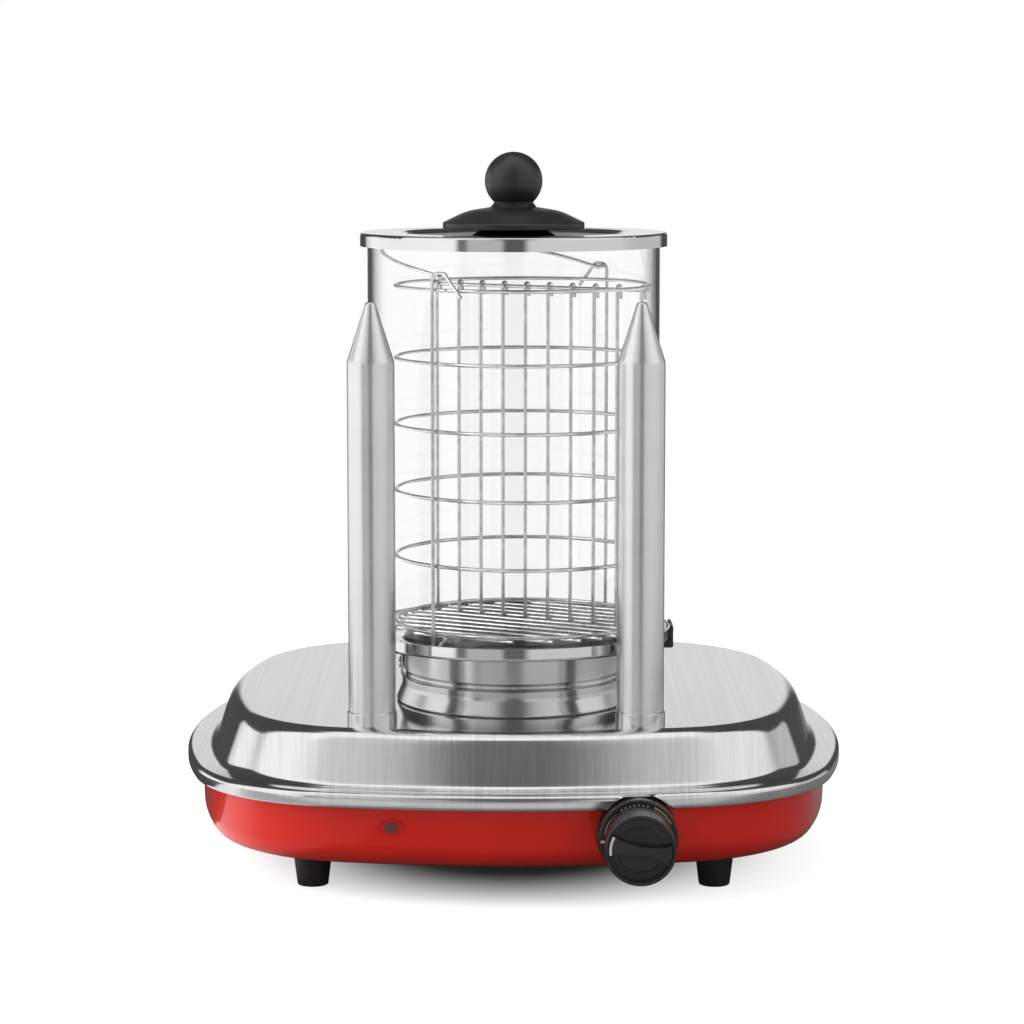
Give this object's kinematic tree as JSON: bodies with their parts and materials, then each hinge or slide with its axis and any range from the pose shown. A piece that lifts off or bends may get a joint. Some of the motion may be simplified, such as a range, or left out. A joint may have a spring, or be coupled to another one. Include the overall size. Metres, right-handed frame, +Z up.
{
  "type": "hot dog toaster",
  "caption": "Electric hot dog toaster: a lidded glass steam tower with a wire sausage basket and two heated bun spikes on a low red and steel base with a control knob.",
  "frame": {"origin": "on the table, below the middle of the whole outline", "axes": "+Z up, the control knob faces -Y, +X to the right as seen from the front"},
  "size_m": [0.364, 0.39, 0.3875],
  "materials": {
    "brushed_steel": "fine brushed grain",
    "red_paint": "metallic red with a clear coat",
    "basket_wire": "polished round wire",
    "tower_glass": "clear heatproof glass",
    "silicone": "translucent satin silicone",
    "black_phenolic": "satin black",
    "pointer_paint": "pale grey",
    "lens_red": "translucent red",
    "black_rubber": "moulded rubber",
    "zinc_steel": "zinc plated",
    "cast_aluminium": "as cast",
    "sheath": "heat darkened sheath",
    "ceramic": "steatite",
    "white_nylon": "moulded nylon",
    "lead_insulation": "silicone insulated lead"
  },
  "bodies": {
    "base": {"base_housing": "red_paint", "bottom_plate": "zinc_steel", "bottom_plate_screws": "zinc_steel", "cable_clamp": "white_nylon", "cord_gland": "black_rubber", "cover_posts": "zinc_steel", "cover_screws": "zinc_steel", "dial_plate": "black_phenolic", "foot_front_left": "black_rubber", "foot_front_right": "black_rubber", "foot_nuts": "zinc_steel", "foot_rear_left": "black_rubber", "foot_rear_right": "black_rubber", "foot_screws": "zinc_steel", "heater_bracket": "zinc_steel", "heater_element": "sheath", "heater_plate": "cast_aluminium", "heater_screws": "zinc_steel", "indicator_lamp": "white_nylon", "indicator_lens": "lens_red", "internal_wires": "lead_insulation", "spike_collar_left": "brushed_steel", "spike_collar_right": "brushed_steel", "spike_heater_left": "sheath", "spike_heater_right": "sheath", "spike_insulator_left": "ceramic", "spike_insulator_right": "ceramic", "spike_nut_left": "zinc_steel", "spike_nut_right": "zinc_steel", "spike_tube_left": "brushed_steel", "spike_tube_right": "brushed_steel", "terminal_block": "ceramic", "thermal_cutout": "sheath", "thermostat_body": "white_nylon", "thermostat_nut": "zinc_steel", "top_cover": "brushed_steel"},
    "knob": {"control_knob": "black_phenolic", "knob_pointer": "pointer_paint", "knob_clip": "zinc_steel", "thermostat_shaft": "zinc_steel"},
    "boiler": {"boiler_pan": "brushed_steel", "glass_seal": "silicone", "boiler_grip_left": "black_phenolic", "boiler_grip_right": "black_phenolic", "boiler_grip_brackets": "brushed_steel", "boiler_rivets": "brushed_steel"},
    "glass": {"glass_cylinder": "tower_glass"},
    "lid": {"lid_plate": "brushed_steel", "lid_gasket": "silicone", "lid_knob": "black_phenolic", "lid_knob_screw": "zinc_steel", "lid_knob_washer": "zinc_steel"},
    "basket": {"basket_rings": "basket_wire", "basket_floor_bars": "basket_wire", "basket_top_bar": "basket_wire", "basket_divider_wires": "basket_wire", "basket_side_wires": "basket_wire"},
    "bail": {"basket_bail": "basket_wire"}
  },
  "joints": [
    {"name": "knob_turn", "type": "hinge", "parent": "base", "child": "knob", "pos_m": [0.064, -0.18, 0.0405], "axis": [0, 1, 0], "range_deg": [0, 210]},
    {"name": "boiler_lift", "type": "slide", "parent": "base", "child": "boiler", "axis": [0, 0, 1], "range_m": [0, 0.12]},
    {"name": "glass_lift", "type": "slide", "parent": "boiler", "child": "glass", "axis": [0, 0, 1], "range_m": [0, 0.25]},
    {"name": "lid_lift", "type": "slide", "parent": "glass", "child": "lid", "axis": [0, 0, 1], "range_m": [0, 0.32]},
    {"name": "basket_lift", "type": "slide", "parent": "boiler", "child": "basket", "axis": [0, 0, 1], "range_m": [0, 0.208]},
    {"name": "bail_swing", "type": "hinge", "parent": "basket", "child": "bail", "pos_m": [0.005, -0.036, 0.32295], "axis": [0.6225, 0.7826, 0], "range_deg": [0, 70]}
  ],
  "couplings": [
    {"joint": "basket_lift", "follows": "lid_lift", "ratio": 0.65},
    {"joint": "bail_swing", "follows": "lid_lift", "rad_per_m": 3.8}
  ]
}
